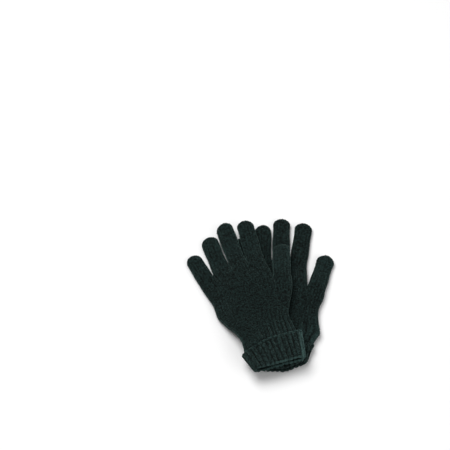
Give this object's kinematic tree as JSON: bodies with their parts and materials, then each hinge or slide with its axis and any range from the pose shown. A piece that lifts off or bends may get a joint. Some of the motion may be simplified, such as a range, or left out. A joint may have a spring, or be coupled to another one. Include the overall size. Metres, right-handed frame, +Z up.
{
  "type": "pair of knitted gloves",
  "caption": "Pair of soft knitted chenille gloves with deep turned-up ribbed cuffs, lying one across the other; fingers bend, cuffs turn down and the gloves come apart.",
  "frame": {"origin": "under the middle of the left palm, on the face that it rests on", "axes": "+Y along the left glove from its cuff to its fingertips, +X to its thumb side, +Z up"},
  "size_m": [0.2032, 0.2544, 0.0325],
  "materials": {
    "chenille": "soft chenille plain knit, dark green black",
    "ribbing": "soft chenille rib knit, dark green black",
    "thread": "plied yarn of the same colour",
    "elastic": "fine covered elastic thread"
  },
  "bodies": {
    "left_hand": {"left_palm": "chenille", "left_wrist_rib": "ribbing", "left_wrist_elastic": "elastic", "left_crotch_stitches": "thread"},
    "left_cuff": {"left_turned_cuff": "ribbing", "left_cuff_edge": "thread"},
    "left_little_finger": {"left_little_finger": "chenille", "left_little_tip_stitch": "thread"},
    "left_ring_finger": {"left_ring_finger": "chenille", "left_ring_tip_stitch": "thread"},
    "left_middle_finger": {"left_middle_finger": "chenille", "left_middle_tip_stitch": "thread"},
    "left_index_finger": {"left_index_finger": "chenille", "left_index_tip_stitch": "thread"},
    "left_thumb": {"left_thumb": "chenille", "left_thumb_tip_stitch": "thread"},
    "right_hand": {"right_palm": "chenille", "right_wrist_rib": "ribbing", "right_wrist_elastic": "elastic", "right_crotch_stitches": "thread"},
    "right_cuff": {"right_turned_cuff": "ribbing", "right_cuff_edge": "thread"},
    "right_little_finger": {"right_little_finger": "chenille", "right_little_tip_stitch": "thread"},
    "right_ring_finger": {"right_ring_finger": "chenille", "right_ring_tip_stitch": "thread"},
    "right_middle_finger": {"right_middle_finger": "chenille", "right_middle_tip_stitch": "thread"},
    "right_index_finger": {"right_index_finger": "chenille", "right_index_tip_stitch": "thread"},
    "right_thumb": {"right_thumb": "chenille", "right_thumb_tip_stitch": "thread"}
  },
  "joints": [
    {"name": "right_glove_lift", "type": "slide", "parent": "left_hand", "child": "right_hand", "axis": [0, 0, 1], "range_m": [0, 0.15]},
    {"name": "left_little_finger_bend", "type": "hinge", "parent": "left_hand", "child": "left_little_finger", "pos_m": [-0.05379, 0.05232, 0], "axis": [-0.9848, -0.1736, 0], "range_deg": [0, 90]},
    {"name": "left_ring_finger_bend", "type": "hinge", "parent": "left_hand", "child": "left_ring_finger", "pos_m": [-0.03115, 0.06043, 0], "axis": [-0.9986, -0.0523, 0], "range_deg": [0, 90]},
    {"name": "left_middle_finger_bend", "type": "hinge", "parent": "left_hand", "child": "left_middle_finger", "pos_m": [-0.00725, 0.0653, 0], "axis": [-0.9998, -0.0175, 0], "range_deg": [0, 90]},
    {"name": "left_index_finger_bend", "type": "hinge", "parent": "left_hand", "child": "left_index_finger", "pos_m": [0.01715, 0.0618, 0], "axis": [-0.9976, 0.0698, 0], "range_deg": [0, 90]},
    {"name": "left_thumb_bend", "type": "hinge", "parent": "left_hand", "child": "left_thumb", "pos_m": [0.0435, 0.024, 0], "axis": [-0.9659, 0.2588, 0], "range_deg": [0, 60]},
    {"name": "left_cuff_turn_down", "type": "slide", "parent": "left_hand", "child": "left_cuff", "axis": [0, -1, 0], "range_m": [0, 0.036]},
    {"name": "right_little_finger_bend", "type": "hinge", "parent": "right_hand", "child": "right_little_finger", "pos_m": [-0.10496, 0.02415, 0.01034], "axis": [0.866, 0.5, 0], "range_deg": [0, 90]},
    {"name": "right_ring_finger_bend", "type": "hinge", "parent": "right_hand", "child": "right_ring_finger", "pos_m": [-0.08646, 0.03952, 0.0212], "axis": [0.9205, 0.3907, 0], "range_deg": [0, 90]},
    {"name": "right_middle_finger_bend", "type": "hinge", "parent": "right_hand", "child": "right_middle_finger", "pos_m": [-0.06567, 0.05226, 0.02353], "axis": [0.9336, 0.3584, 0], "range_deg": [0, 90]},
    {"name": "right_index_finger_bend", "type": "hinge", "parent": "right_hand", "child": "right_index_finger", "pos_m": [-0.04154, 0.05732, 0.02451], "axis": [0.9613, 0.2756, 0], "range_deg": [0, 90]},
    {"name": "right_thumb_bend", "type": "hinge", "parent": "right_hand", "child": "right_thumb", "pos_m": [-0.00385, 0.03081, 0.0255], "axis": [0.9962, 0.0872, 0], "range_deg": [0, 60]},
    {"name": "right_cuff_turn_down", "type": "slide", "parent": "right_hand", "child": "right_cuff", "axis": [0.342, -0.9397, 0], "range_m": [0, 0.036]}
  ]
}
